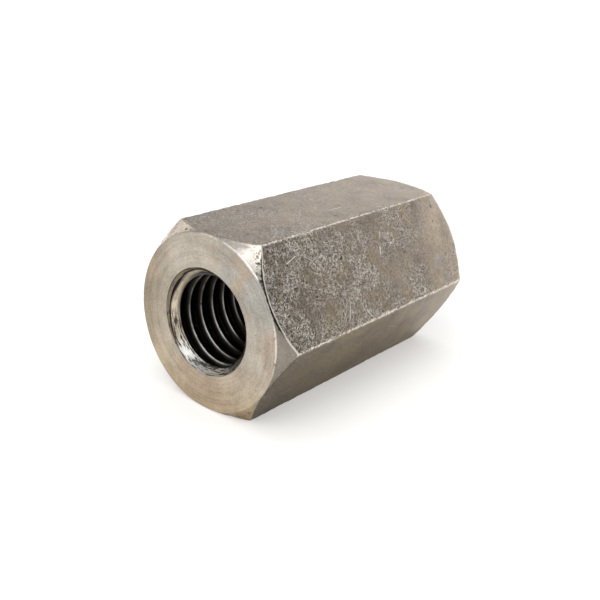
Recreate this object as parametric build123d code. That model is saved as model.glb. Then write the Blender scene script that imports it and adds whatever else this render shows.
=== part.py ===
from build123d import *

import math
import os

# A long hexagonal coupling nut that joins two M10 rods end to end. It is one
# piece: drawn hexagon bar, faced and chamfered at both ends, drilled,
# countersunk and tapped. It lies on one flat with its bore along Y, and its
# front end faces -Y. The origin is the middle of the flat that it lies on.
# All sizes are in millimetres.

# Hexagon bar
across_flats = 17.0
nut_length = 30.0
bar_edge_radius = 0.3

# Turned ends: a flat ring a little smaller than the width across the flats, and
# the cone from it to the flats, at this angle to the end face
end_ring_step = 0.1
end_chamfer_angle = 45.0

# Right-hand M10 x 1.5 thread with 60 degree flanks
thread_diameter = 10.0
thread_pitch = 1.5
flank_angle = 60.0

# The drilled hole is this much wider than the thread's basic minor diameter, of
# the 0.3 that the standard allows. What the tap leaves of its wall is the crests.
hole_allowance = 0.28

# How far behind the front end the groove's middle is, on the -X side of the bore
thread_start = 0.27

# How deep from each end the groove is cut. Beyond that it doesn't show, and the
# drilled wall at the crests stands in for it.
modelled_thread_depth = 8.0

# Countersink at each mouth, a little wider than the thread
mouth_allowance = 0.3
countersink_angle = 90.0

# How far a cutter reaches past the metal that it cuts, and how far the tap's
# teeth reach into the drilled hole
cutter_overrun = 1.0
tooth_overlap = 0.15

flat_radius = across_flats / 2
corner_radius = flat_radius / math.cos(math.radians(30))
end_ring_radius = (across_flats - end_ring_step) / 2
thread_radius = thread_diameter / 2
basic_minor_diameter = thread_diameter - 1.0825 * thread_pitch
drilled_radius = (basic_minor_diameter + hole_allowance) / 2
mouth_radius = (thread_diameter + mouth_allowance) / 2
half_length = nut_length / 2

# The nut's own axis: local X across the corners, local Z along the bore from the
# front end to the back.
nut_frame = Plane(origin=(0, 0, flat_radius), x_dir=(1, 0, 0), z_dir=(0, 1, 0))


def hexagon_bar():
    """The drawn bar, with its six long edges slightly rounded."""
    section = RegularPolygon(radius=corner_radius, side_count=6)
    section = fillet(section.vertices(), bar_edge_radius)
    return extrude(section, amount=half_length, both=True)


def turned_envelope():
    """The round shape that the ends are turned to: a cylinder that tapers to the end rings."""
    outer = corner_radius + cutter_overrun
    taper = (outer - end_ring_radius) * math.tan(math.radians(end_chamfer_angle))
    outline = Polyline(
        (0, -half_length),
        (end_ring_radius, -half_length),
        (outer, -half_length + taper),
        (outer, half_length - taper),
        (end_ring_radius, half_length),
        (0, half_length),
        close=True,
    )
    return revolve(Plane.XZ * make_face(outline), Axis.Z)


def drilled_hole():
    """The drilled hole right through, with the countersink at both mouths."""
    slope = math.tan(math.radians(countersink_angle / 2))
    depth = (mouth_radius - drilled_radius) / slope
    wide = mouth_radius + cutter_overrun * slope
    outline = Polyline(
        (0, -half_length - cutter_overrun),
        (wide, -half_length - cutter_overrun),
        (drilled_radius, -half_length + depth),
        (drilled_radius, half_length - depth),
        (wide, half_length + cutter_overrun),
        (0, half_length + cutter_overrun),
        close=True,
    )
    return revolve(Plane.XZ * make_face(outline), Axis.Z)


def groove_turn():
    """One turn of the tapped groove: the tooth's outline carried once round a helix.

    At the thread's diameter the tooth has a flat of an eighth of the pitch, and
    its flanks open towards the bore at the flank angle. The turn starts on +X.
    """
    inside = drilled_radius - tooth_overlap
    tip_half_width = thread_pitch / 16
    slope = math.tan(math.radians(flank_angle / 2))
    inside_half_width = tip_half_width + (thread_radius - inside) * slope
    tooth = Polyline(
        (inside, 0, -inside_half_width),
        (thread_radius, 0, -tip_half_width),
        (thread_radius, 0, tip_half_width),
        (inside, 0, inside_half_width),
        close=True,
    )
    path = Helix(pitch=thread_pitch, height=thread_pitch, radius=thread_radius)
    return sweep(make_face(tooth), path=path, is_frenet=True)


def tapped_groove():
    """The turns of one helix through the nut whose middle is near enough to either end."""
    turn = groove_turn()
    first = -half_length + thread_start - thread_pitch
    count = math.ceil(nut_length / thread_pitch) + 2
    middles = [first + index * thread_pitch for index in range(count)]
    cut = [middle for middle in middles if half_length - abs(middle) < modelled_thread_depth]
    return [Pos(0, 0, middle - thread_pitch / 2) * turn for middle in cut]


def coupling_nut():
    """The bar with its ends turned, drilled, countersunk and tapped, lying on one flat."""
    blank = (hexagon_bar() & turned_envelope()) - drilled_hole()
    return nut_frame * (blank - tapped_groove())


os.makedirs("parts", exist_ok=True)
export_step(coupling_nut(), "parts/coupling_nut.step")
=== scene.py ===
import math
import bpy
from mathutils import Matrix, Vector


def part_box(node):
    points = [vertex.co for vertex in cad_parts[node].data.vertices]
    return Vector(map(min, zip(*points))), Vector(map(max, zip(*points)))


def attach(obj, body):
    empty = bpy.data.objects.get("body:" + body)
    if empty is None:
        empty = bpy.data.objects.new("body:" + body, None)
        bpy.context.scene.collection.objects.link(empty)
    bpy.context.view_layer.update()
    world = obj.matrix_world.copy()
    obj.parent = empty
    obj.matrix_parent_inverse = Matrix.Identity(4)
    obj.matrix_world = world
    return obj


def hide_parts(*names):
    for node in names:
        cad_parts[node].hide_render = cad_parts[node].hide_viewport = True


bl_info = {
    "name": "Coupling nut",
    "version": (1, 0, 0),
    "blender": (4, 5, 0),
    "location": "3D View > Sidebar > Coupling nut",
    "description": "Builds the worn steel surface of a long hexagonal coupling nut around its CAD part",
    "category": "Object",
}

from functools import reduce

import bmesh
import bpy
import numpy as np
from mathutils import Matrix, Vector

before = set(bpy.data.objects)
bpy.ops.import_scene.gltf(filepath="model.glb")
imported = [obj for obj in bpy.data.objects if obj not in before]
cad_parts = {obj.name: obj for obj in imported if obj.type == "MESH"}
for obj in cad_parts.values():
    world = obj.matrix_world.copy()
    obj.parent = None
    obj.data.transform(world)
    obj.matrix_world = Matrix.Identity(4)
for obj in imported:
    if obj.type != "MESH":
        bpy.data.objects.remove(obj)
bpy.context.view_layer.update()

MM = 0.001
NODE = "coupling_nut"
nut_low, nut_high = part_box(NODE)
AXIS_HEIGHT = (nut_low.z + nut_high.z) / 2

# Directions round the bore are angles from +X towards +Z. The corners of the
# hexagon are at multiples of 60 degrees, and the grids start at a corner below.
SIDES = 6
FULL_TURN = 2 * math.pi
FIRST_CORNER = math.radians(240)

# Columns of the outside's grid within one side: angles over half a rounded corner,
# and places on the flat from -1 at its start to 1 at its end
CORNER_ANGLES = np.radians([0, 10, 20, 30])
FLAT_PLACES = np.concatenate(([-0.994], np.linspace(-0.97, 0.97, 31), [0.994]))
SIDE_COLUMNS = 2 * len(CORNER_ANGLES) - 1 + len(FLAT_PLACES)
COLUMNS = SIDES * SIDE_COLUMNS
BORE_COLUMNS = COLUMNS // 2

# Rows of the outside's grid: shares of the way over the end face, the chamfer and
# the flat, closer together near the corners
FACE_ROWS = np.array([0, 0.12, 0.3, 0.5, 0.7, 0.85, 0.95, 0.99])
CONE_ROWS = np.array([0.06, 0.18, 0.34, 0.5, 0.66, 0.82, 0.94])
FLAT_ROWS = np.concatenate(([0.0015, 0.005], np.linspace(0.011, 0.989, 104), [0.995, 0.9985]))

# The parts of the outside, in the order of the rows
FACE, RIM, CONE, SHOULDER, FLAT, FAR_SHOULDER, FAR_CONE, FAR_RIM, FAR_FACE = range(9)

# The corners of the outside are rounded by this length at most, and by this share
# of the chamfer's width where it is narrow
CORNER_CUT = 0.05 * MM
CORNER_SHARE = 0.3

# Radii on the end face, as shares of the mouth's: where the ring round the mouth
# ends, and where the outside's finer columns begin
MOUTH_RING = 1.05
OUTER_START = 1.075

# Rounding of the mouth's edge, and how far that edge wanders
MOUTH_CUT = 0.045 * MM
MOUTH_WANDER = 0.02 * MM

# Depth of the countersink's last full circle before the thread cuts it
CLEAR_DEPTH = 0.07 * MM

# The countersinks' centres lie a little off the bore's axis: distance and
# direction of the front one and the back one
MOUTH_OFFSETS = {-1: (0.13 * MM, math.radians(135)), 1: (0.07 * MM, math.radians(20))}

# Run of the thread's flanks, which stand 30 degrees off the radius, per unit of
# height, and the unevenness of the tapped surface
FLANK_RUN = math.tan(math.radians(30))
TAPPED_ROUGHNESS = 0.008 * MM

# Depth behind each end up to which the thread's rows are fine, and the length over
# which they close up beyond it
FINE_DEPTH = 5.5 * MM
FINE_FADE = 1.0 * MM

# Reach of the burr from a chamfer's curved edge, and reach and depth of the
# rubbing from a long edge
BURR_REACH = 0.35 * MM
RUB_REACH = 0.2 * MM
RUB_DEPTH = 0.03 * MM

# How each flat looks: bottom, lower right, upper right, top, upper left, lower left
FLATS = {
    "scuffed": (0.6, 0.2, 1.0, 0.45, 0.65, 0.5),
    "burred": (0.2, 0.1, 1.0, 0.12, 0.4, 0.2),
    "stained": (0.5, 1.0, 0.25, 0.22, 0.3, 0.6),
    # Each flat's tone is partly its own and partly painted shade; the lower right flat is drawn darkest
    "tone": (0.85, 0.62, 0.93, 1.0, 0.95, 0.9),
    "fading": (0.4, 1.0, 1.3, 0.6, 0.5, 0.4),
}

# How far the wear reaches, as a share, from the edge in front of each of these flats
EDGE_WEAR = (1.0, 0.6, 1.2, 0.5, 0.5, 1.0)

# How much paler each flat is drawn, as a share, at places from -1 in front to 1 at the back: partly the
# steel's own tone and partly painted light, darker in front and paler at the back
FADING_PLACES = (-1, -0.4, 0.2, 0.6, 1)
FADING = (-0.42, 0.0, 0.12, 0.3, 0.65)

# Single dents: angle round the axis in degrees, then distance from the axis,
# distance behind the front face, size and depth in millimetres
SINGLE_DENTS = (
    (300, 9.0, 0.55, 0.35, 0.16),
    (297, 8.9, 0.45, 0.25, 0.12),
    (353, 8.45, 0.0, 0.3, 0.1),
    (124, 8.9, 0.4, 0.3, 0.08),
)

# The materials' places in the mesh's list
DRAWN, TURNED, TAPPED = range(3)

# The measures that the materials read, and their value where a grid has none
MEASURES = {
    "edge_distance": 9 * MM,
    "shoulder_distance": 9 * MM,
    "scuffed": 0.0,
    "burred": 0.0,
    "stained": 0.0,
    "tone": 1.0,
    "groove_depth": 0.0,
}

# Layers of scratches: cell and half width in millimetres, direction, spread of the
# directions, and share of cells that have one
FINE_SCRATCHES = (
    (0.52, 0.03, 0.0, math.pi, 1.1),
    (0.66, 0.032, 1.2, 2.4, 1.1),
    (0.9, 0.036, 0.9, math.pi, 1.0),
)
LONG_SCRATCHES = (
    (4.5, 0.035, 0.25, 0.8, 0.4),
    (3.6, 0.035, 1.9, 1.2, 0.35),
)

# Directions of the layers of hair-fine marks
HAIR_TURNS = (0.3, 1.15, 1.9, 2.7)

# Single marks on the unrolled map, in millimetres: start, end and half width
KNOWN_SCRATCHES = (
    ((27.4, 2.7), (26.8, 2.5), 0.07),
    ((25.9, 2.0), (25.2, 1.7), 0.09),
    ((27.2, -11.4), (27.6, -10.0), 0.05),
    ((20.4, 7.0), (19.95, 6.7), 0.1),
    ((21.7, -5.1), (20.5, -5.8), 0.06),
    ((20.7, -3.0), (19.9, -2.5), 0.06),
    ((32.3, -0.4), (32.2, 1.4), 0.05),
    ((25.5, 3.2), (26.2, 4.7), 0.03),
    ((28.1, 7.3), (26.9, 8.3), 0.035),
)
KNOWN_PITS = (
    ((25.9, -6.95), (26.05, -6.9), 0.12),
    ((26.05, -4.3), (26.15, -4.1), 0.15),
    ((36.8, -5.45), (36.9, -5.25), 0.2),
)

# Small dark pits on the front end, and one on a crest in the bore: middle and
# radius in millimetres
END_PITS = (
    ((5.39, -14.55, 1.42), 0.2),
    ((5.2, -14.84, 1.8), 0.13),
    ((8.3, -15.0, 10.0), 0.16),
    ((-3.0, -14.76, 16.65), 0.18),
    ((-2.3, -14.85, 16.75), 0.12),
)
CREST_PIT = ((-4.31, -11.37, 8.08), 0.2)

# Colours that lie over those of the finish, as linear red, green and blue
ROSY_BLOOM = (0.32, 0.285, 0.275)
FLAT_PIT = (0.02, 0.017, 0.014)
END_PIT = (0.08, 0.06, 0.04)
BORE_PIT = (0.01, 0.01, 0.01)
# Painted shadow that the burr casts along the chamfer's curved edge
BURR_SHADOW = (0.008, 0.007, 0.006)
TORN_STEEL = (0.014, 0.012, 0.01)
# Painted shade: the end face darker towards the left
RING_LEFT_SHADE = (0.285, 0.24, 0.175)
RING_BELOW = (0.445, 0.36, 0.245)
# Painted highlight: the colour of a light band on the upper right of the end face, greyer and cooler
RING_UPPER_RIGHT_GLINT = (0.315, 0.307, 0.28)
RING_STRAW = (0.37, 0.285, 0.21)
# Painted highlight: the chamfer far paler on the left
CHAMFER_LEFT_HIGHLIGHT = (0.88, 0.76, 0.63)
# Painted shade: the chamfer darker on the right
CHAMFER_RIGHT_SHADE = (0.212, 0.189, 0.161)
CHAMFER_BELOW = (0.355, 0.265, 0.157)
# Painted tint for the lamp's highlight on the countersink's lower left, cooler and greyer
MOUTH_COOL_HIGHLIGHT = (0.29, 0.287, 0.272)
MOUTH_BROWN = (0.19, 0.155, 0.115)
MOUTH_PALE = (0.5, 0.43, 0.335)
# Painted shadow just inside the mouth's upper edge
MOUTH_LIP_SHADOW = (0.04, 0.032, 0.024)
MOUTH_CHATTER = (0.025, 0.021, 0.017)
# Painted shade in the first groove's run-out
RUN_OUT_SHADOW = (0.012, 0.01, 0.008)
# Painted shade deeper in the countersink
MOUTH_INNER_SHADE = (0.12, 0.11, 0.075)
# Painted shade in the first groove near the mouth
FIRST_GROOVE_SHADE = (0.02, 0.016, 0.012)
# Painted highlights on the thread's flanks near the crests: dim olive and plum, and bright on the lower side
CREST_LIGHT_OLIVE = (0.1, 0.095, 0.055)
CREST_LIGHT_PLUM = (0.12, 0.108, 0.115)
CREST_HIGHLIGHT = (0.78, 0.745, 0.69)

FLOOR_WHITE = (0.95, 0.937, 0.92, 1.0)
FLOOR_GLOW = (1.0, 0.99, 0.975, 1.0)
SKY_WHITE = (1.0, 1.0, 1.0, 1.0)


def length_property(name, description, default):
    return bpy.props.FloatProperty(name=name, description=description, default=default, unit="LENGTH")


def angle_property(name, description, degrees):
    return bpy.props.FloatProperty(
        name=name, description=description, default=math.radians(degrees), subtype="ANGLE", unit="ROTATION"
    )


def colour_property(name, description, default):
    return bpy.props.FloatVectorProperty(
        name=name, description=description, default=default, subtype="COLOR", size=3
    )


class NutSizes(bpy.types.PropertyGroup):
    """The sizes of the nut, as the CAD part has them."""

    across_flats: length_property(
        "Across flats", "Width of the hexagon from one flat to the opposite one", nut_high.z - nut_low.z
    )
    length: length_property("Length", "Length from one end face to the other", nut_high.y - nut_low.y)
    edge_radius: length_property("Edge radius", "Rounding of the bar's six long edges", 0.3 * MM)
    end_ring: length_property("End ring", "Outer diameter of the flat ring on each end", 16.9 * MM)
    chamfer_angle: angle_property("Chamfer angle", "Angle between the chamfer cone and the end face", 45)
    thread_diameter: length_property(
        "Thread diameter", "Diameter at the root of the nut's thread", 10 * MM
    )
    pitch: length_property("Pitch", "Distance from one turn of the thread to the next", 1.5 * MM)
    drilled_diameter: length_property(
        "Drilled diameter", "Diameter at the crests of the thread", 8.656 * MM
    )
    mouth_diameter: length_property(
        "Mouth diameter", "Diameter of the 90 degree countersink at each end face", 10.3 * MM
    )
    thread_start: length_property(
        "Thread start", "Depth of the first groove's middle on the -X side, behind the front end", 0.27 * MM
    )


class NutWear(bpy.types.PropertyGroup):
    """How much the handling has marked the nut."""

    nick_count: bpy.props.IntProperty(
        name="Nicks",
        description="Number of small nicks on each long edge",
        default=34,
    )
    nick_depth: length_property("Nick depth", "Depth of the deepest nicks", 0.07 * MM)
    burr_height: length_property(
        "Burr height", "Height of the burr where each chamfer meets the flats", 0.035 * MM
    )
    ragged: length_property(
        "Raggedness", "How far the turned edges wander from their true line", 0.03 * MM
    )


class SteelFinish(bpy.types.PropertyGroup):
    """Colours of the steel."""

    drawn: colour_property("Drawn flats", "Colour of the drawn bar's flats", (0.34, 0.281, 0.229))
    oiled: colour_property(
        "Oiled flats", "Colour of the olive-brown patches on the flats", (0.24, 0.168, 0.062)
    )
    turned: colour_property("Turned ends", "Colour of the turned end faces", (0.42, 0.377, 0.317))
    chamfered: colour_property("Chamfers", "Colour of the turned chamfers", (0.31, 0.29, 0.26))
    countersunk: colour_property(
        "Countersinks", "Colour of the countersinks at the bore's mouths", (0.36, 0.335, 0.28)
    )
    # Near black: painted shade over the whole bore
    tapped: colour_property("Tapped bore", "Colour of the bore and its thread", (0.018, 0.016, 0.013))
    bare: colour_property("Bare edges", "Colour of freshly scratched steel", (0.74, 0.69, 0.62))


class StudioSettings(bpy.types.PropertyGroup):
    """Camera, lamp and floor."""

    azimuth: angle_property(
        "Azimuth", "Camera's direction round the nut, from the front end towards +X", 38.217
    )
    elevation: angle_property("Elevation", "Camera's angle above the floor", 22.329)
    roll: angle_property("Roll", "Camera's turn about its own line of sight", 4.2685)
    distance: length_property(
        "Distance", "Distance from the camera to the point that it looks at", 87.06 * MM
    )
    aim: bpy.props.FloatVectorProperty(
        name="Aim",
        description="The point that the camera looks at",
        default=(-0.351 * MM, -1.088 * MM, 6.947 * MM),
        subtype="TRANSLATION",
        size=3,
    )
    lens: bpy.props.FloatProperty(
        name="Focal length",
        description="Focal length in millimetres, for a 36 mm sensor",
        default=50.74,
    )
    floor_size: length_property("Floor size", "Side of the square floor", 4.0)
    lamp_power: bpy.props.FloatProperty(
        name="Lamp power",
        description="Power of the soft lamp above the front end",
        default=0.85,
        unit="POWER",
    )


def rounded_hexagon(across_flats, edge_radius):
    """One closed trip round the hexagon, as columns of the grid.

    Each side runs from the middle of one rounded corner to the middle of the
    next. On a corner the point is the rounding's centre plus its radius in the
    normal's direction, and between corners it moves straight along the flat.
    Returns each column's point (x, z), distance travelled, and distance from
    the nearest corner's middle. The last column repeats the first.
    """
    apothem = across_flats / 2
    half_turn = math.pi / SIDES
    half_flat = (apothem - edge_radius) * math.tan(half_turn)
    turned = [CORNER_ANGLES, np.full(len(FLAT_PLACES), half_turn), half_turn + CORNER_ANGLES[:-1]]
    along = [np.full(len(CORNER_ANGLES), -1.0), FLAT_PLACES, np.full(len(CORNER_ANGLES) - 1, 1.0)]
    side = np.append(np.repeat(np.arange(SIDES), SIDE_COLUMNS), SIDES)
    corner = FIRST_CORNER + side * FULL_TURN / SIDES
    normal_angle = corner + np.append(np.tile(np.concatenate(turned), SIDES), 0.0)
    along = np.append(np.tile(np.concatenate(along), SIDES), -1.0)
    flat_angle = corner + half_turn
    out = np.stack([np.cos(flat_angle), np.sin(flat_angle)], -1)
    tangent = np.stack([-out[:, 1], out[:, 0]], -1)
    centre = out * (apothem - edge_radius) + tangent * (along * half_flat)[:, None]
    normal = np.stack([np.cos(normal_angle), np.sin(normal_angle)], -1)
    side_length = 2 * half_flat + edge_radius * FULL_TURN / SIDES
    within = edge_radius * (normal_angle - corner) + (along + 1) * half_flat
    travelled = side * side_length + within
    return centre + normal * edge_radius, travelled, np.minimum(within, side_length - within)


def random_waves(points, wavelength, seed, count=28):
    """Smooth random height of about -1 to 1 at each point.

    It is the sum of sine waves that run in random directions, each with a
    length near the one given, divided by the square root of their number.
    """
    random = np.random.default_rng(seed)
    direction = random.normal(size=(count, 3))
    direction /= np.linalg.norm(direction, axis=1, keepdims=True)
    direction *= 2 * math.pi / (wavelength * random.uniform(0.6, 1.6, (count, 1)))
    phase = random.uniform(0, 2 * math.pi, count)
    return np.sin(points @ direction.T + phase).sum(-1) / math.sqrt(count)


def dents(points, centres, sizes, depths):
    """Depth of round dents at each point: depth * (1 - (distance / size)^2)^2, none beyond size."""
    total = np.zeros(points.shape[:-1])
    for centre, size, depth in zip(centres, sizes, depths):
        share = ((points - centre) ** 2).sum(-1) / size**2
        total = np.maximum(total, depth * np.clip(1 - share, 0, None) ** 2)
    return total


def blend_rows(start, end, shares):
    """Rows of points that go straight from start to end: start + share * (end - start)."""
    shares = np.asarray(shares)[:, None, None]
    return start[None] + shares * (end - start)[None]


def round_corner(before, corner, after, cut):
    """Rows of a parabola round a corner, which leaves both sides at the cut length.

    Each point is (1 - t)^2 * a + 2t(1 - t) * corner + t^2 * b, where a and b are
    the points on the two sides at the cut length from the corner.
    """
    towards_before = before - corner
    towards_after = after - corner
    a = corner + towards_before * (cut / np.linalg.norm(towards_before, axis=-1))[:, None]
    b = corner + towards_after * (cut / np.linalg.norm(towards_after, axis=-1))[:, None]
    t = np.array([0, 0.25, 0.5, 0.75, 1])[:, None, None]
    return (1 - t) ** 2 * a + 2 * t * (1 - t) * corner + t**2 * b


def place(radius, angle, y, axis_height):
    """Points at a radius and angle round the bore's axis, at y along it."""
    return np.stack([radius * np.cos(angle), y + 0 * angle, axis_height + radius * np.sin(angle)], -1)


def even_angles(columns):
    """Directions of a closed trip round the axis in equal steps, from the first corner."""
    return FIRST_CORNER + np.linspace(0, FULL_TURN, columns + 1)


def surface_normals(grid):
    """Unit normals of a grid that closes on itself in its columns, from central differences."""
    open_grid = grid[:, :-1]
    across = np.roll(open_grid, -1, 1) - np.roll(open_grid, 1, 1)
    along = np.gradient(open_grid, axis=0)
    normal = np.cross(along, across)
    normal /= np.linalg.norm(normal, axis=-1, keepdims=True)
    return np.concatenate([normal, normal[:, :1]], 1)


def meridian_rows(ring, edge, shoulder, far_ring, far_edge, far_shoulder):
    """All rows of the outside between six closed lines round the nut, as the list of its nine parts."""
    near_width = np.linalg.norm(shoulder - edge, axis=-1)
    far_width = np.linalg.norm(far_shoulder - far_edge, axis=-1)
    near_cut, far_cut = [np.minimum(CORNER_CUT, CORNER_SHARE * width) for width in (near_width, far_width)]
    corners = [
        round_corner(ring, edge, shoulder, near_cut),
        round_corner(edge, shoulder, far_shoulder, near_cut),
        round_corner(shoulder, far_shoulder, far_edge, far_cut),
        round_corner(far_shoulder, far_edge, far_ring, far_cut),
    ]
    return [
        blend_rows(ring, corners[0][0], FACE_ROWS),
        corners[0],
        blend_rows(corners[0][-1], corners[1][0], CONE_ROWS),
        corners[1],
        blend_rows(corners[1][-1], corners[2][0], FLAT_ROWS),
        corners[2],
        blend_rows(corners[2][-1], corners[3][0], CONE_ROWS),
        corners[3],
        blend_rows(corners[3][-1], far_ring, 1 - FACE_ROWS[::-1]),
    ]


def outer_lines(sizes, wear, angle, radius):
    """Three closed lines at each end: in the ring, at its edge, and at the chamfer's curved edge.

    The chamfer's cone starts at the ring's edge and meets the hexagon where a
    column's own radius says, which makes the curved edge. Both edges wander a
    little from their true line.
    """
    axis_height = sizes.across_flats / 2
    slope = math.tan(sizes.chamfer_angle)
    unit_circle = place(1.0, angle, 0.0, 0.0)
    lines = []
    for end, seed in ((-1, 11), (1, 12)):
        wander = wear.ragged * random_waves(unit_circle, 0.12, seed)
        rim = sizes.end_ring / 2 - 0.4 * np.abs(wander)
        run = (radius - rim) * slope + wander * np.clip((radius - rim) / MM, 0, 1)
        face_y = end * sizes.length / 2
        inner = OUTER_START * sizes.mouth_diameter / 2
        lines.append(place(inner, even_angles(COLUMNS), face_y, axis_height))
        lines.append(place(rim, angle, face_y, axis_height))
        lines.append(place(radius, angle, face_y - end * run, axis_height))
    return lines


def worn_depth(grid, sizes, wear, part_number, edge_distance, shoulder_distance):
    """How far the wear lowers each point of the outside.

    It is the sum of the gaps in the burr at the curved edges, the nicks, the
    single dents, and the soft rubbing of the long edges.
    """
    unit_grid = grid / MM
    burr = 0.5 + 0.5 * random_waves(unit_grid, 0.9, 21)
    burr *= np.isin(part_number, (SHOULDER, FAR_SHOULDER))[:, None]
    outside = (part_number > RIM) & (part_number < FAR_RIM)
    near_shoulder = np.exp(-((shoulder_distance / BURR_REACH) ** 2)) * outside[:, None]
    depth = wear.burr_height * (1 - np.clip(burr, 0, 1)) * near_shoulder
    depth += long_edge_nicks(grid, sizes, wear)
    depth += dents(grid, *single_dents(sizes))
    rubbing_and_crest_light = np.exp(-((edge_distance / RUB_REACH) ** 2))
    return depth + RUB_DEPTH * rubbing_and_crest_light * np.clip(random_waves(unit_grid, 1.3, 31), 0, 1)


def outer_skin(sizes, wear):
    """The outside as one grid, from the ring on the front face to the ring on the back face.

    Every column is a meridian: straight out over the end face, straight up the
    chamfer's cone to the hexagon, and straight along the flat. Returns the
    grid, the wear measures of each point, the part number of each row, and the
    distance round the hexagon of each column.
    """
    point, travelled, from_corner = rounded_hexagon(sizes.across_flats, sizes.edge_radius)
    radius = np.linalg.norm(point, axis=-1)
    angle = np.unwrap(np.arctan2(point[:, 1], point[:, 0]))
    angle += FIRST_CORNER - angle[0]
    lines = outer_lines(sizes, wear, angle, radius)
    parts = meridian_rows(*lines)
    grid = np.concatenate(parts)
    part_number = np.repeat(np.arange(len(parts)), [len(part) for part in parts])

    from_shoulders = [np.linalg.norm(grid - shoulder, axis=-1) for shoulder in lines[2::3]]
    shoulder_distance = np.minimum(*from_shoulders)
    edge_distance = np.broadcast_to(from_corner, shoulder_distance.shape)
    depth = worn_depth(grid, sizes, wear, part_number, edge_distance, shoulder_distance)
    grid = grid - surface_normals(grid) * depth[..., None]
    grid[:, -1] = grid[:, 0]

    side = travelled / travelled[-1] * SIDES
    reach = np.interp(side, np.arange(SIDES + 1), (*EDGE_WEAR, EDGE_WEAR[0]))
    along = grid[..., 1] / nut_high.y
    # Darker in front and paler at the back, partly painted light
    fading = per_flat(side, "fading") * np.interp(along, FADING_PLACES, FADING)
    measures = {
        "edge_distance": edge_distance / reach,
        "shoulder_distance": shoulder_distance,
        "scuffed": scuffing(grid, side),
        "burred": per_flat(side, "burred") * np.where(along < 0, 1.0, 0.5),
        "stained": per_flat(side, "stained") * np.interp(along, [-0.2, 0.8], [1.0, 0.4]),
        "tone": per_flat(side, "tone") * (1 + fading),
    }
    return grid, measures, part_number, travelled


def scuffing(grid, side):
    """How scuffed each point of the flats is, 0 to 1.

    Each flat has its own share, as handling leaves them, joined by smooth steps
    at the edges. It is higher towards the front and varies in soft patches.
    """
    share = per_flat(side, "scuffed")
    front = np.clip(0.75 - grid[..., 1] / nut_high.y * 0.45, 0, 1)
    patches = 0.25 * random_waves(grid / MM, 7.0, 71)
    return np.clip(share * (front + patches), 0, 1)


def per_flat(side, name):
    """Each flat's own value at its place in sides travelled, with short steps over the edges."""
    places = np.repeat(np.arange(SIDES), 2) + np.tile([0.05, 0.95], SIDES)
    return np.interp(side, places, np.repeat(FLATS[name], 2), period=SIDES)


def long_edge_nicks(grid, sizes, wear):
    """Depth of small random nicks along the six long edges."""
    random = np.random.default_rng(41)
    corner_radius = sizes.across_flats / 2 / math.cos(math.pi / SIDES) - 0.1 * MM
    count = SIDES * wear.nick_count
    corner = np.arange(count) % SIDES * 2 * math.pi / SIDES
    y = random.uniform(-0.46, 0.46, count) * sizes.length
    size = random.uniform(0.18, 0.55, count) * MM
    depth = wear.nick_depth * random.uniform(0.15, 1, count) ** 2
    centres = place(corner_radius, corner, y, sizes.across_flats / 2)
    return dents(grid, centres, size, depth)


def single_dents(sizes):
    """Centres, sizes and depths of the single dents that stand out."""
    angle, *lengths = np.transpose(SINGLE_DENTS)
    radius, behind, size, depth = np.array(lengths) * MM
    centres = place(radius, np.radians(angle), behind - sizes.length / 2, sizes.across_flats / 2)
    return centres, size, depth


def mouth_radius(sizes, angle, end):
    """Radius of the countersink's edge from the bore's axis: that of a circle a little off centre."""
    offset, towards = MOUTH_OFFSETS[end]
    return sizes.mouth_diameter / 2 + offset * np.cos(angle - towards)


def mouth_ring(sizes, end):
    """The end face next to the mouth and the start of its countersink, as closed circles.

    The section runs down the countersink from its last clear circle to the
    mouth, which a parabola rounds, and out over the face.
    """
    even = even_angles(BORE_COLUMNS)
    mouth = mouth_radius(sizes, even, end)
    face_y = end * sizes.length / 2
    axis_height = sizes.across_flats / 2
    deep = place(mouth - CLEAR_DEPTH, even, face_y - end * CLEAR_DEPTH, axis_height)
    wander = MOUTH_WANDER * random_waves(place(1.0, even, 0.0, 0.0), 0.3, 51 + end)
    corner = place(mouth + wander, even, face_y, axis_height)
    outside = place(MOUTH_RING * sizes.mouth_diameter / 2, even, face_y, axis_height)
    rounding = round_corner(deep, corner, outside, np.full(len(even), MOUTH_CUT))
    rows = np.concatenate([
        blend_rows(deep, rounding[0], [0, 0.6]),
        rounding,
        blend_rows(rounding[-1], outside, [0.2, 1]),
    ])
    rows[:, -1] = rows[:, 0]
    return rows


def thread_phases(sizes):
    """Distances along the bore from the groove's middle, over one pitch, where a section has points.

    They lie close to each corner of the thread's profile. Returns them with a
    coarse twin for each, so that rows can close up where nobody looks.
    """
    root = sizes.pitch / 16
    crest = root + (sizes.thread_diameter - sizes.drilled_diameter) / 2 * FLANK_RUN
    near_root = root + np.array([-0.03, 0.01, 0.05]) * MM
    near_crest = crest + np.array([-0.05, -0.017, 0.018, 0.06]) * MM
    steps = np.concatenate([near_root, near_crest, [sizes.pitch / 2 - 0.05 * MM]])
    coarse = np.concatenate([-steps[::-1], steps])
    following = np.append(coarse[1:], coarse[0] + sizes.pitch)
    fine = np.stack([coarse, (coarse + following) / 2], -1).ravel()
    return fine, np.repeat(coarse, 2)


def thread_radius(sizes, phase):
    """Radius of the 60 degree profile at a distance along the bore from the groove's middle.

    The root is flat for an eighth of the pitch, each flank falls by 1 over
    FLANK_RUN, and the crests are what is left of the drilled hole.
    """
    root, crest = sizes.thread_diameter / 2, sizes.drilled_diameter / 2
    return np.clip(root - (np.abs(phase) - sizes.pitch / 16) / FLANK_RUN, crest, root)


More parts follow.
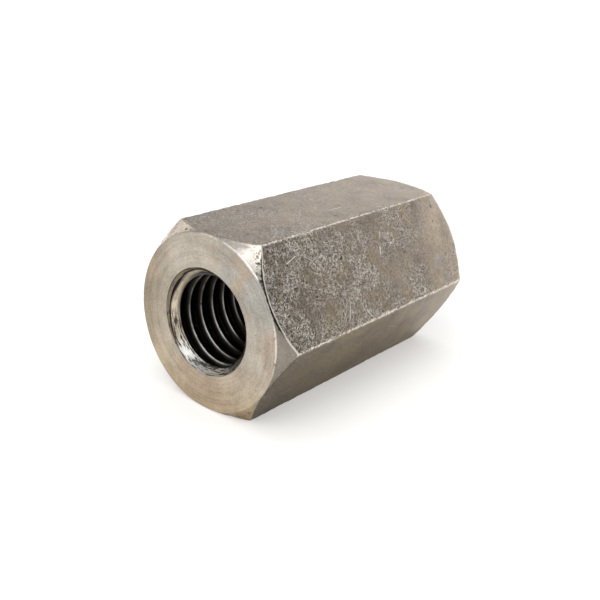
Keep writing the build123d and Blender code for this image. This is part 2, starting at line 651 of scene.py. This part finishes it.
def bore_skin(sizes):
    """The tapped bore between the two clear circles, as a grid whose rows follow the helix.

    A row is a fixed distance from the groove's middle, and moves one pitch
    towards the front in one trip round, so the last column meets the first one
    a pitch further on. The radius is that of the 60 degree profile or of the
    countersink's cone, whichever is larger. Points that would lie beyond the
    clear circle are moved onto it.
    """
    fine, coarse = thread_phases(sizes)
    half = sizes.length / 2
    turns = math.ceil(sizes.length / sizes.pitch) + 3
    even = even_angles(BORE_COLUMNS)
    # The groove's middle is thread_start behind the front end at 180 degrees.
    lead = sizes.pitch * (math.pi - even) / FULL_TURN
    middles = sizes.thread_start - half + sizes.pitch * np.arange(turns)
    middle = np.repeat(middles, len(fine))[:, None] + lead
    fine = np.tile(fine, turns)[:, None]
    coarse = np.tile(coarse, turns)[:, None]
    inside = half - np.abs(middle + coarse)
    detail = np.clip((FINE_DEPTH - inside) / FINE_FADE, 0, 1)
    phase = coarse + detail * (fine - coarse)
    y = np.clip(middle + phase, -half + CLEAR_DEPTH, half - CLEAR_DEPTH)
    thread = thread_radius(sizes, phase)
    angle = np.broadcast_to(even, y.shape)
    thread = thread + TAPPED_ROUGHNESS * random_waves(place(thread, angle, y, 0.0) / MM, 0.8, 61)
    mouth = np.where(y < 0, mouth_radius(sizes, angle, -1), mouth_radius(sizes, angle, 1))
    cone = mouth - (half - np.abs(y))
    on_clear_circle = np.abs(y) >= half - CLEAR_DEPTH
    radius = np.where(on_clear_circle, cone, np.maximum(thread, cone))
    grid = place(radius, angle, y, sizes.across_flats / 2)
    return grid[::-1], {"groove_depth": (radius - cone)[::-1]}


def strip_triangles(coarse_row, fine_row, fine_first):
    """Triangles between a row of points and one with twice as many: three to each coarse step."""
    c0, c1 = coarse_row[:-1], coarse_row[1:]
    f0, f1, f2 = fine_row[:-1:2], fine_row[1::2], fine_row[2::2]
    if fine_first:
        groups = [(f0, c0, f1), (f1, c0, c1), (f1, c1, f2)]
    else:
        groups = [(c0, f0, f1), (c0, f1, c1), (c1, f1, f2)]
    return np.concatenate([np.stack(group, -1) for group in groups])


def grid_quads(index):
    """Quads of a grid of point numbers, wound so that they face out of the steel."""
    quads = np.stack([index[:-1, :-1], index[1:, :-1], index[1:, 1:], index[:-1, 1:]], -1)
    return quads.reshape(-1, 4)


def close_up(mesh):
    """Merge equal points, and raise an error unless the mesh is then closed and faces outwards."""
    joined = bmesh.new()
    joined.from_mesh(mesh)
    bmesh.ops.remove_doubles(joined, verts=joined.verts, dist=2e-7)
    open_edges = [edge for edge in joined.edges if len(edge.link_faces) != 2]
    volume = joined.calc_volume(signed=True)
    joined.to_mesh(mesh)
    joined.free()
    if open_edges or volume <= 0:
        raise RuntimeError(f"the nut's skin has {len(open_edges)} open edges, volume {volume}")


def nut_mesh(sizes, wear):
    """The whole nut as one closed mesh, with its UV map in metres and its wear measures.

    The grids are joined at their shared lines by merging equal points, which
    also closes the seam and takes out the rows that have closed up.
    """
    outer, outer_measures, part_number, travelled = outer_skin(sizes, wear)
    bore, bore_measures = bore_skin(sizes)
    drawn_rows = np.isin(part_number[:-1], (SHOULDER, FLAT, FAR_SHOULDER))
    skins = [
        (outer, np.where(drawn_rows, DRAWN, TURNED), outer_measures),
        (mouth_ring(sizes, -1), TURNED, {}),
        (bore, TAPPED, bore_measures),
        (mouth_ring(sizes, 1)[::-1], TURNED, {}),
    ]
    numbers, faces, finishes = [], [], []
    first = 0
    for grid, finish, _ in skins:
        index = first + np.arange(grid[..., 0].size).reshape(grid.shape[:2])
        first += index.size
        numbers.append(index)
        faces += grid_quads(index).tolist()
        per_row = np.broadcast_to(finish, index.shape[0] - 1)
        finishes.append(np.repeat(per_row, index.shape[1] - 1))
    for triangles in (
        strip_triangles(numbers[1][-1], numbers[0][0], False),
        strip_triangles(numbers[3][0], numbers[0][-1], True),
    ):
        faces += triangles.tolist()
        finishes.append(np.full(len(triangles), TURNED))
    points = np.concatenate([grid.reshape(-1, 3) for grid, _, _ in skins])

    mesh = bpy.data.meshes.new(NODE + "_skin")
    mesh.from_pydata(points.tolist(), [], faces)
    mesh.polygons.foreach_set("material_index", np.concatenate(finishes).astype(np.int32))
    mesh.polygons.foreach_set("use_smooth", np.ones(len(mesh.polygons), bool))
    across = np.zeros(len(points))
    across[: numbers[0].size] = np.tile(travelled, len(outer))
    uv_points = np.stack([across, points[:, 1]], -1)
    corner_points = np.empty(len(mesh.loops), np.int32)
    mesh.loops.foreach_get("vertex_index", corner_points)
    mesh.uv_layers.new(name="unrolled").data.foreach_set("uv", uv_points[corner_points].ravel())
    for name, elsewhere in MEASURES.items():
        values = [
            measures.get(name, np.full(grid.shape[:2], elsewhere)).ravel()
            for grid, _, measures in skins
        ]
        values = np.concatenate(values).astype(np.float32)
        mesh.attributes.new(name, "FLOAT", "POINT").data.foreach_set("value", values)
    close_up(mesh)
    return mesh


class Wire:
    """An output socket of a node tree, so that shader maths reads as maths.

    Arithmetic on wires adds Math nodes. Any other node comes from node().
    """

    def __init__(self, tree, socket=None):
        self.tree = tree
        self.socket = socket

    def node(self, kind, settings, sockets, out=0):
        """Add a node, apply its settings, and fill its sockets with values or wires.

        Returns the output that out numbers or names, or a list of them for a tuple.
        """
        made = self.tree.nodes.new(kind)
        for name, value in settings.items():
            setattr(made, name, value)
        for name, value in sockets.items():
            if isinstance(value, Wire):
                self.tree.links.new(value.socket, made.inputs[name])
            else:
                made.inputs[name].default_value = value
        if isinstance(out, tuple):
            return [Wire(self.tree, made.outputs[name]) for name in out]
        return Wire(self.tree, made.outputs[out])

    def maths(self, operation, *values):
        return self.node("ShaderNodeMath", {"operation": operation}, dict(enumerate(values)))

    def __add__(self, other):
        return self.maths("ADD", self, other)

    def __sub__(self, other):
        return self.maths("SUBTRACT", self, other)

    def __mul__(self, other):
        return self.maths("MULTIPLY", self, other)

    def __truediv__(self, other):
        return self.maths("DIVIDE", self, other)

    def __pow__(self, other):
        return self.maths("POWER", self, other)

    def __rsub__(self, other):
        return self.maths("SUBTRACT", other, self)

    __radd__ = __add__
    __rmul__ = __mul__

    def __abs__(self):
        return self.maths("ABSOLUTE", self)

    def arcsine(self):
        return self.maths("ARCSINE", self)

    def least(self, other):
        return self.maths("MINIMUM", self, other)

    def most(self, other):
        return self.maths("MAXIMUM", self, other)

    def rise(self, low, high):
        """0 below low, 1 above high, and a smooth step between. With low above high it falls."""
        ends = {"From Min": low, "From Max": high}
        if low > high:
            ends = {"From Min": high, "From Max": low, "To Min": 1.0, "To Max": 0.0}
        return self.node("ShaderNodeMapRange", {"interpolation_type": "SMOOTHSTEP"}, {"Value": self, **ends})

    def vector_maths(self, operation, *values, out=0):
        sockets = dict(enumerate((self, *values)))
        return self.node("ShaderNodeVectorMath", {"operation": operation}, sockets, out)

    def times(self, factor):
        """A colour or vector times a number."""
        return self.node("ShaderNodeVectorMath", {"operation": "SCALE"}, {0: self, "Scale": factor})

    def parts(self):
        """The three parts of a vector."""
        return self.node("ShaderNodeSeparateXYZ", {}, {0: self}, out=(0, 1, 2))


def colour_mix(share, first, second):
    """The first colour where share is 0, and the second where it is 1."""
    sockets = {0: share}
    for number, colour in ((6, first), (7, second)):
        sockets[number] = colour if isinstance(colour, Wire) else (*colour, 1.0)
    return share.node("ShaderNodeMix", {"data_type": "RGBA"}, sockets, out=2)


def strongest(masks):
    """The largest of several masks."""
    return reduce(Wire.most, masks)


def varied(centre, *parts):
    """The centre plus each noise's share of it: (noise - 0.5) * amount, summed."""
    return sum(((noise - 0.5) * amount for noise, amount in parts), centre)


def noise(vector, scale, detail, roughness=0.5, dimensions="3D"):
    """Noise of about 0 to 1, centred on 0.5, whose features are about 1 / scale across."""
    sockets = {"Scale": scale, "Detail": detail, "Roughness": roughness}
    sockets["W" if dimensions == "1D" else "Vector"] = vector
    return vector.node("ShaderNodeTexNoise", {"noise_dimensions": dimensions}, sockets)


def mapped(vector, turn=0.0, scale=(1.0, 1.0, 1.0), shift=(0.0, 0.0, 0.0)):
    """The vector scaled, then turned about Z, then moved."""
    return vector.node("ShaderNodeMapping", {}, {
        "Vector": vector, "Rotation": (0.0, 0.0, turn), "Scale": scale, "Location": shift,
    })


def scratch_layer(flat, seed, cell, width, turn, spread, share):
    """Short straight scratches, at most one in each square cell of a turned grid.

    In each cell white noise picks the scratch's middle, direction, length and
    strength. The mask is 1 where the distance across it is under the width and
    the distance along it is under its length.
    """
    turned = mapped(flat, turn=seed * 1.3, shift=(seed * 3.7, seed * 1.9, 0.0))
    scaled = mapped(turned, scale=(1 / cell, 1 / cell, 1.0))
    number = scaled.vector_maths("FLOOR")
    inside = scaled.vector_maths("FRACTION")
    settings = {"noise_dimensions": "3D"}
    chance = number.node("ShaderNodeTexWhiteNoise", settings, {"Vector": number}, out=1)
    middle = mapped(chance, scale=(0.36, 0.36, 0.0), shift=(0.32, 0.32, 0.0))
    offset = inside.vector_maths("SUBTRACT", middle)
    sockets = {"Vector": mapped(number, shift=(seed + 0.5, 17.0, 3.0))}
    length, exists, tilt = number.node("ShaderNodeTexWhiteNoise", settings, sockets, out=1).parts()
    angle = tilt * spread + (turn + seed * 1.3 - spread / 2)
    along, across, _ = offset.node("ShaderNodeVectorRotate", {"rotation_type": "Z_AXIS"}, {
        "Vector": offset, "Angle": angle,
    }).parts()
    ends = 1 - abs(along) / (0.12 + length * 0.28)
    mask = abs(across).rise(width / cell, width * 0.4 / cell) * ends.rise(0.0, 0.35)
    return mask * exists.rise(share, share * 0.3)


def scratches(flat, layers, first_seed):
    """Mask of several layers of scratches."""
    return strongest(scratch_layer(flat, seed, *layer) for seed, layer in enumerate(layers, first_seed))


def hairs(flat, turn, seed):
    """Fine marks that all run one way: noise stretched along them. Returns a light and a dark mask."""
    turned = mapped(flat, turn=turn, shift=(seed * 5.3, seed * 2.7, 0.0))
    streaks = noise(mapped(turned, scale=(2.2, 19.0, 1.0)), 1.0, 1.0, 0.5, "2D")
    return streaks.rise(0.62, 0.74), streaks.rise(0.38, 0.28)


def stroke(flat, begin, finish, width):
    """Mask of one straight mark: 1 near the line between two points of the unrolled map.

    The map is turned and moved so that the mark lies on the X axis with its
    middle at 0. The distance from it is then the length of (the part of |x|
    beyond half its length, y).
    """
    across, along = finish[0] - begin[0], finish[1] - begin[1]
    half, turn = math.hypot(across, along) / 2, -math.atan2(along, across)
    middle = Matrix.Rotation(turn, 2) @ Vector(((begin[0] + finish[0]) / 2, (begin[1] + finish[1]) / 2))
    x, y, _ = mapped(flat, turn=turn, shift=(-middle.x, -middle.y, 0.0)).parts()
    beyond = (abs(x) - half).most(0.0)
    return ((beyond * beyond + y * y) ** 0.5).rise(width, width * 0.5)


def spot(solid, centre, size):
    """Mask of a round spot of the given radius about a point, in millimetres."""
    return solid.vector_maths("DISTANCE", centre, out=1).rise(size, size * 0.6)


def metal_shader(start, colour, roughness, height, bump_distance):
    """A metallic surface with the colour, roughness and height given."""
    normal = start.node("ShaderNodeBump", {}, {
        "Strength": 1.0, "Distance": bump_distance, "Height": height,
    })
    surface = start.node("ShaderNodeBsdfPrincipled", {}, {
        "Base Color": colour, "Metallic": 1.0, "Roughness": roughness, "Normal": normal,
    })
    start.node("ShaderNodeOutputMaterial", {}, {"Surface": surface}, out=())


def new_material(name):
    """An empty material with nodes, and a wire to start from."""
    material = bpy.data.materials.new(name)
    material.use_nodes = True
    material.node_tree.nodes.clear()
    return material, Wire(material.node_tree)


def object_position(start):
    """Object coordinates in millimetres."""
    return start.node("ShaderNodeTexCoord", {}, {}, out=3).times(1 / MM)


def unrolled_position(start):
    """The UV map in millimetres: distance round the hexagon, and place along the nut."""
    return start.node("ShaderNodeUVMap", {"uv_map": "unrolled"}, {}).times(1 / MM)


def measure(start, name):
    """A wear measure of the mesh."""
    return start.node("ShaderNodeAttribute", {"attribute_name": name}, {}, out=2)


def burr_shadow(line, burred, x):
    """Mask of the painted shadow that the burr casts.

    It follows the line where a flat is burred, and ends before the right corner.
    """
    return line * burred.rise(0.45, 0.8) * x.rise(9.2, 8.4) * 0.95


def drawn_steel(finish):
    """The flats: drawn bar, brown-grey, mottled, scratched by handling and worn bright along the edges, with
    painted highlights and a painted shadow along the chamfer's curved edge.
    """
    material, start = new_material("drawn_steel")
    flat = unrolled_position(start)
    solid = object_position(start)
    edge = measure(start, "edge_distance") / MM
    shoulder = measure(start, "shoulder_distance") / MM
    scuffed = measure(start, "scuffed")

    broad = noise(solid, 0.2, 3.0)
    cloud = noise(solid, 0.7, 5.0, 0.6)
    blotch = noise(mapped(solid, shift=(31.0, 7.0, 3.0)), 0.4, 4.0, 0.55)
    bloom = noise(mapped(solid, shift=(3.0, 17.0, 9.0)), 0.5, 4.0, 0.6)
    grain = noise(solid, 4.5, 3.0, 0.6)
    speckle = noise(flat, 11.0, 3.0, 0.75, "2D")

    both_hairs = zip(*(hairs(flat, turn, seed) for seed, turn in enumerate(HAIR_TURNS, 1)))
    light_hairs, dark_hairs = [strongest(masks) for masks in both_hairs]
    fine = scratches(flat, FINE_SCRATCHES, 1).most(light_hairs * 0.85)
    long = scratches(flat, LONG_SCRATCHES, 21)
    known = strongest(stroke(flat, *mark) for mark in KNOWN_SCRATCHES)
    known_pits = strongest(stroke(flat, *mark) for mark in KNOWN_PITS)

    busy = scuffed * (0.4 + cloud.rise(0.38, 0.6) * 0.9) * (1 - blotch.rise(0.48, 0.64) * 0.3)
    light_specks = speckle.rise(0.55, 0.68) * busy
    dark_specks = speckle.rise(0.49, 0.36).most(dark_hairs) * (busy + 0.2)
    marks = (fine * (busy + 0.06)).most(long * 0.5).most(known)
    pits = noise(solid, 1.6, 1.5).rise(0.28, 0.23).most(known_pits)

    stained = measure(start, "stained")
    tone = varied(1, (broad, 0.6), (cloud, 1.0), (grain, 0.8), (blotch, stained * 1.9 + 0.6))
    tone = tone * (1 - dark_specks.least(0.92)) * measure(start, "tone")
    patches = (blotch.rise(0.4, 0.66) * (0.2 + scuffed * 0.4)).most(stained)
    colour = colour_mix(bloom.rise(0.46, 0.64) * 0.6, finish.drawn, ROSY_BLOOM)
    colour = colour_mix(patches, colour, finish.oiled).times(tone)
    colour = colour_mix(light_specks * 0.36, colour, finish.bare)
    colour = colour_mix(marks, colour, finish.bare)
    colour = colour_mix(pits * 0.85, colour, FLAT_PIT)

    worn = varied(edge, (grain, 1.3), (cloud, 0.8)).rise(0.18, -0.02)
    burred = measure(start, "burred")
    x, _, z = solid.parts()
    wander = varied(shoulder, (grain, 0.2))
    # Painted highlights along the chamfer's curved edge: the lit side of the burr on burred flats, and the
    # narrow edge on plain ones
    lip = wander.rise(0.21, 0.16) * burred.rise(0.2, 0.6) * cloud.rise(0.36, 0.46)
    plain_edge_highlight = wander.rise(0.06, -0.04) * 0.6 * burred.rise(0.6, 0.2)
    # Bare steel on the worn long edges, together with those painted highlights in the same colour
    colour = colour_mix((worn * 0.85).most(lip).most(plain_edge_highlight), colour, finish.bare)
    # Painted shadow of the burr, on the flat's side of the chamfer's curved edge
    burr_shade = burr_shadow(wander.rise(0.1, 0.06) * z.rise(16.6, 15.9), burred, x)
    colour = colour_mix(burr_shade, colour, BURR_SHADOW)
    roughness = varied(0.4, (cloud, 0.25), (grain, 0.2))
    height = grain * 0.3 + cloud * 0.4 + speckle * busy * 0.3 - marks * 0.25 - pits * 0.8
    metal_shader(start, colour, roughness, height, 0.02 * MM)
    return material


def polar(solid):
    """x and z from the axis, distance from the axis, and depth behind the nearest end, in millimetres."""
    x, y, z = solid.parts()
    z = z - AXIS_HEIGHT / MM
    return x, z, (x * x + z * z) ** 0.5, nut_high.y / MM - abs(y)


def lathe_streaks(places, round_scale, fineness):
    """Noise that changes quickly across the tool's path and slowly round the axis."""
    x, z, radius, end_depth = places
    across = (radius - end_depth) * fineness
    point = across.node("ShaderNodeCombineXYZ", {}, {0: x * round_scale, 1: z * round_scale, 2: across})
    return noise(point, 1.0, 3.0, 0.6)


def countersunk_colour(sizes, finish, places, cloud):
    """Colour of a mouth's cone: brown above and on the left, lighter below, with chatter streaks, painted
    shade at its upper edge, in the first groove's run-out and deeper in, and a painted tint for the lamp's
    highlight on the lower left.
    """
    x, z, radius, end_depth = places
    streaks = lathe_streaks(places, 1.0, 5.0)
    brown = varied(z - x, (cloud, 3.0)).rise(-1.0, 2.5)
    # Painted tint for the lamp's highlight: the countersink cooler and greyer on its lower left, where that
    # highlight falls
    cool_highlight = x.rise(2.0, -1.0) * z.rise(-1.5, -3.0)
    colour = colour_mix(cool_highlight, finish.countersunk, MOUTH_COOL_HIGHLIGHT)
    colour = colour_mix(brown * end_depth.rise(0.5, 0.2) * (0.6 + streaks * 0.7), colour, MOUTH_BROWN)
    colour = colour_mix(brown * end_depth.rise(0.25, 0.4), colour, MOUTH_PALE)
    # Painted shadow: a dark line just inside the mouth's edge on its upper half
    lip = varied(end_depth, (streaks, 0.1)).rise(0.12, 0.05) * z.rise(0.0, 3.0)
    colour = colour_mix(lip * 0.8, colour, MOUTH_LIP_SHADOW)
    chatter = varied(z, (cloud, 1.5)).rise(0.5, -1.5)
    right = x.rise(0.5, 3.0) * z.rise(-1.0, -3.0)
    dark = (streaks - end_depth * 0.12 - right * 0.06).rise(0.46, 0.37)
    colour = colour_mix(dark * (0.25 + chatter * 0.65), colour, MOUTH_CHATTER)
    # The first groove's run-out keeps to the thread's helix, which is deeper towards the top. A dark line
    # along it on the left is painted shade in the groove.
    helix = sizes.thread_start / MM + (z / radius).arcsine() * (sizes.pitch / MM / FULL_TURN)
    run_out_shadow = varied(abs(end_depth - helix), (streaks, 0.05)).rise(0.055, 0.02) * x.rise(-0.5, -2.5)
    colour = colour_mix(run_out_shadow * 0.9, colour, RUN_OUT_SHADOW)
    # Painted shade: the countersink darker deeper in, more so towards the top
    inner = varied(end_depth, (streaks, 0.6)).rise(0.6, 1.0)
    colour = colour_mix(inner * (0.3 + z.rise(-3.5, 0.0) * 0.3), colour, MOUTH_INNER_SHADE)
    return colour.times(varied(1, (streaks, 0.9)))


def turned_steel(sizes, finish):
    """The end faces, chamfers and mouths: turned, with fine rings round the axis."""
    material, start = new_material("turned_steel")
    solid = object_position(start)
    places = polar(solid)
    x, z, radius, end_depth = places
    rings = lathe_streaks(places, 0.15, 5.0)
    hair = lathe_streaks(places, 0.3, 18.0)
    wide = noise(radius, 1.1, 1.0, 0.5, "1D")
    cloud = noise(solid, 0.5, 4.0, 0.55)
    grain = noise(solid, 5.0, 3.0, 0.65)
    tint = noise(mapped(solid, shift=(5.0, 0.0, 11.0)), 0.3, 3.0)
    chamfer = end_depth.rise(0.02, 0.06) * radius.rise(7.0, 8.0)
    shoulder = measure(start, "shoulder_distance") / MM

    tone = varied(1, (rings, 0.5), (hair, 0.4), (wide, 0.3), (cloud, 0.9), (grain, 0.9))
    # Painted shade: the end face darker towards the left
    colour = colour_mix(x.rise(-3.0, -8.0) * 0.9, finish.turned, RING_LEFT_SHADE)
    colour = colour_mix(z.rise(-1.0, -9.0), colour, RING_BELOW)
    # Painted highlight: a light band on the upper right of the end face, drawn greyer and cooler
    colour = colour_mix(((x + z) / radius).rise(1.05, 1.38) * 0.9, colour, RING_UPPER_RIGHT_GLINT)
    colour = colour_mix(tint.rise(0.48, 0.62) * 0.6, colour, RING_STRAW)
    # The chamfer's colour with painted light: a painted highlight on the left, painted shade on the right,
    # and browner below
    chamfer_colour_and_light = colour_mix(x.rise(-1.0, -3.0), finish.chamfered, CHAMFER_LEFT_HIGHLIGHT)
    # Painted shade: the chamfer darker on the right
    chamfer_colour_and_light = colour_mix(x.rise(5.2, 8.0), chamfer_colour_and_light, CHAMFER_RIGHT_SHADE)
    chamfer_colour_and_light = colour_mix(z.rise(-4.5, -7.0), chamfer_colour_and_light, CHAMFER_BELOW)
    colour = colour_mix(chamfer, colour, chamfer_colour_and_light).times(tone)

    specks = noise(solid, 3.2, 2.0).rise(0.31, 0.25)
    chamfer_specks = noise(solid, 2.6, 3.0, 0.6).rise(0.42, 0.34) * chamfer * x.rise(-2.0, -4.0)
    specks = specks.most(chamfer_specks * 0.45).most(strongest(spot(solid, *pit) for pit in END_PITS))
    colour = colour_mix(specks * 0.75, colour, END_PIT)
    burred = measure(start, "burred")
    torn = noise(solid, 2.6, 4.0, 0.65).rise(0.53, 0.46) * varied(shoulder, (cloud, 1.2)).rise(0.9, 0.3)
    torn = torn.most(z.rise(7.9, 6.4) * 0.55) * chamfer * burred.rise(0.6, 0.9) * x.rise(8.0, 7.2)
    colour = colour_mix(torn * 0.95, colour, TORN_STEEL)
    # Painted shadow of the burr, on the chamfer's side of its curved edge
    line = varied(shoulder, (grain, 0.35), (cloud, -0.3)).rise(0.15, 0.08) * z.rise(8.1, 7.4)
    colour = colour_mix(burr_shadow(line, burred, x), colour, BURR_SHADOW)
    # A painted highlight: a thin bright line along the edge of the end ring, on parts of its upper right, in
    # bare steel's colour
    from_edge = abs(varied(radius - (sizes.end_ring / 2 / MM - 0.02), (grain, 0.2)))
    rim = from_edge.rise(0.11, 0.04) * end_depth.rise(0.12, 0.06) * cloud.rise(0.36, 0.5)
    rim = rim * x.rise(-4.5, 0.0) * z.rise(-4.0, 0.5) * z.rise(5.6, 6.4).most(z.rise(3.2, 2.0))
    colour = colour_mix(rim * 0.6, colour, finish.bare)
    mouth_edge = (sizes.mouth_diameter / 2 + MOUTH_OFFSETS[-1][0]) / MM
    mouth = radius.rise(mouth_edge + 0.04, mouth_edge - 0.02) * end_depth.rise(0.0, 0.03)
    colour = colour_mix(mouth, colour, countersunk_colour(sizes, finish, places, cloud))
    roughness = varied(0.34, (cloud, 0.15)) - chamfer * 0.08
    height = rings * 0.5 + hair * 0.6 + grain * 0.15 - specks * 0.5
    metal_shader(start, colour, roughness, height, 0.02 * MM)
    return material


def tapped_steel(sizes, finish):
    """The bore: the thread, drawn near black as painted shade, with painted highlights near its crests, and
    the turned cone between the turns.
    """
    material, start = new_material("tapped_steel")
    solid = object_position(start)
    places = polar(solid)
    x, z, radius, end_depth = places
    cloud = noise(solid, 0.8, 3.0, 0.55)
    grain = noise(solid, 9.0, 3.0, 0.6)
    # Painted highlights near the crests: brightest on the lower side
    lower = (z - x * 0.4).rise(2.5, -2.5)
    above = radius - sizes.drilled_diameter / 2 / MM
    crest = above.rise(0.202, 0.062).most(above.rise(0.332, 0.072) * 0.13) * above.rise(0.007, 0.027)
    # The painted highlights fade into painted shade deeper in and towards the right, except on the upper
    # side
    fading = (x + end_depth * 0.78).rise(3.7, 0.7).most(z.rise(-1.0, 1.0))
    rubbing_and_crest_light = colour_mix(cloud.rise(0.42, 0.56), CREST_LIGHT_OLIVE, CREST_LIGHT_PLUM)
    rubbing_and_crest_light = colour_mix(lower, rubbing_and_crest_light, CREST_HIGHLIGHT)
    # The bore's near-black base is painted shade
    colour = colour_mix(crest * fading * (0.1 + cloud * 1.1), finish.tapped, rubbing_and_crest_light)
    colour = colour_mix(spot(solid, *CREST_PIT) * 0.7, colour, BORE_PIT)
    near_mouth = varied(end_depth, (cloud, 0.4)).rise(1.0, 0.7)
    colour = colour_mix(near_mouth, colour, countersunk_colour(sizes, finish, places, cloud))
    groove = measure(start, "groove_depth") / MM
    # Painted shade: the first groove near the mouth drawn dark
    colour = colour_mix(groove.rise(0.06, 0.16) * end_depth.rise(0.75, 0.55), colour, FIRST_GROOVE_SHADE)
    colour = colour.times(varied(1, (cloud, 0.8), (grain, 0.5)))
    metal_shader(start, colour, varied(0.32, (cloud, 0.2)), grain * 0.4, 0.01 * MM)
    return material


class BuildNut(bpy.types.Operator):
    """Build the nut's skin and its three finishes"""

    bl_idname = "coupling_nut.build_nut"
    bl_label = "Nut"

    def execute(self, context):
        scene = context.scene
        sizes, finish = scene.nut_sizes, scene.steel_finish
        mesh = nut_mesh(sizes, scene.nut_wear)
        for material in (drawn_steel(finish), turned_steel(sizes, finish), tapped_steel(sizes, finish)):
            mesh.materials.append(material)
        piece = bpy.data.objects.new(NODE + "_worn", mesh)
        scene.collection.objects.link(piece)
        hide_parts(NODE)
        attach(piece, "root")
        return {"FINISHED"}


def add_camera(scene, studio):
    """The camera looks at the aim point from the azimuth, elevation and distance, turned by the roll."""
    around, up = studio.azimuth, studio.elevation
    back = Vector((
        math.sin(around) * math.cos(up),
        -math.cos(around) * math.cos(up),
        math.sin(up),
    ))
    right = Vector((math.cos(around), math.sin(around), 0))
    above = back.cross(right)
    side = right * math.cos(studio.roll) + above * math.sin(studio.roll)
    above = back.cross(side)
    data = bpy.data.cameras.new("studio_camera")
    data.sensor_width = 36
    data.lens = studio.lens
    data.clip_start = 1 * MM
    data.clip_end = 20
    camera = bpy.data.objects.new("studio_camera", data)
    turn = Matrix((side, above, back)).transposed().to_4x4()
    camera.matrix_world = Matrix.Translation(Vector(studio.aim) + back * studio.distance) @ turn
    scene.collection.objects.link(camera)
    scene.camera = camera


def add_soft_lamp(scene, power, direction, distance, size):
    """A round area lamp at the distance in the direction from the nut, facing it."""
    data = bpy.data.lights.new("front_top_lamp", "AREA")
    data.shape = "DISK"
    data.size = size
    data.energy = power
    lamp = bpy.data.objects.new("front_top_lamp", data)
    direction = Vector(direction).normalized()
    lamp.location = direction * distance + Vector((0, 0, AXIS_HEIGHT))
    lamp.rotation_euler = direction.to_track_quat("Z", "Y").to_euler()
    scene.collection.objects.link(lamp)


def white_floor():
    """White paper: it takes the nut's shadow, and shows as pure white where it is lit.

    Part of it glows for the camera and a little in reflections, but not onto the nut.
    """
    material, start = new_material("white_paper")
    plain = start.node("ShaderNodeBsdfDiffuse", {}, {"Color": FLOOR_WHITE})
    glow = start.node("ShaderNodeEmission", {}, {"Color": FLOOR_GLOW, "Strength": 1.0})
    rays = ("Is Camera Ray", "Is Glossy Ray", "Is Transmission Ray")
    camera, glossy, through = start.node("ShaderNodeLightPath", {}, {}, out=rays)
    share = camera * 0.36 + glossy.most(through) * 0.08
    both = start.node("ShaderNodeMixShader", {}, {0: share, 1: plain, 2: glow})
    start.node("ShaderNodeOutputMaterial", {}, {"Surface": both}, out=())
    return material


def add_floor(scene, size):
    """A square floor under the nut."""
    half = size / 2
    corners = [(-half, -half, 0), (half, -half, 0), (half, half, 0), (-half, half, 0)]
    mesh = bpy.data.meshes.new("floor")
    mesh.from_pydata(corners, [], [(0, 1, 2, 3)])
    mesh.materials.append(white_floor())
    floor = bpy.data.objects.new("floor", mesh)
    scene.collection.objects.link(floor)


def white_room():
    """A white world, plain to the camera. Its light is brighter from above and dimmer from the sides."""
    world = bpy.data.worlds.new("white_room")
    world.use_nodes = True
    world.node_tree.nodes.clear()
    start = Wire(world.node_tree)
    towards_right, _, upwards = start.node("ShaderNodeTexCoord", {}, {}).parts()
    camera = start.node("ShaderNodeLightPath", {}, {}, out="Is Camera Ray")
    dimmer_sides = 1.0 - towards_right.rise(0.35, 0.75) * 0.4 - towards_right.rise(-0.5, -0.95) * 0.3
    strength = (dimmer_sides + upwards.rise(0.5, 1.0) * 0.62).most(camera)
    sky = start.node("ShaderNodeBackground", {}, {"Color": SKY_WHITE, "Strength": strength})
    start.node("ShaderNodeOutputWorld", {}, {"Surface": sky}, out=())
    return world


class BuildStudio(bpy.types.Operator):
    """Add the white floor, the surroundings, the lamp and the camera"""

    bl_idname = "coupling_nut.build_studio"
    bl_label = "Studio"

    def execute(self, context):
        scene = context.scene
        studio = scene.studio_settings
        add_floor(scene, studio.floor_size)
        scene.world = white_room()
        add_soft_lamp(scene, studio.lamp_power, direction=(0.2, -0.64, 0.74), distance=0.5, size=0.34)
        add_camera(scene, studio)
        scene.view_settings.view_transform = "Standard"
        return {"FINISHED"}


class NutPanel(bpy.types.Panel):
    """Lists the build steps in the 3D view's sidebar"""

    bl_idname = "VIEW3D_PT_coupling_nut"
    bl_label = "Coupling nut"
    bl_space_type = "VIEW_3D"
    bl_region_type = "UI"
    bl_category = "Coupling nut"

    def draw(self, context):
        for name in ("nut_sizes", "nut_wear", "steel_finish", "studio_settings"):
            group = getattr(context.scene, name)
            box = self.layout.box()
            for prop in group.bl_rna.properties:
                if prop.identifier not in {"rna_type", "name"}:
                    box.prop(group, prop.identifier)
        for step in STEPS:
            self.layout.operator(step.bl_idname)


STEPS = (BuildNut, BuildStudio)
GROUPS = {
    "nut_sizes": NutSizes,
    "nut_wear": NutWear,
    "steel_finish": SteelFinish,
    "studio_settings": StudioSettings,
}


def register():
    for cls in (*GROUPS.values(), *STEPS, NutPanel):
        bpy.utils.register_class(cls)
    for name, cls in GROUPS.items():
        setattr(bpy.types.Scene, name, bpy.props.PointerProperty(type=cls))


def unregister():
    for name in GROUPS:
        delattr(bpy.types.Scene, name)
    for cls in reversed((*GROUPS.values(), *STEPS, NutPanel)):
        bpy.utils.unregister_class(cls)


def main():
    register()
    bpy.ops.coupling_nut.build_nut()
    bpy.ops.coupling_nut.build_studio()


if __name__ == "__main__":
    main()
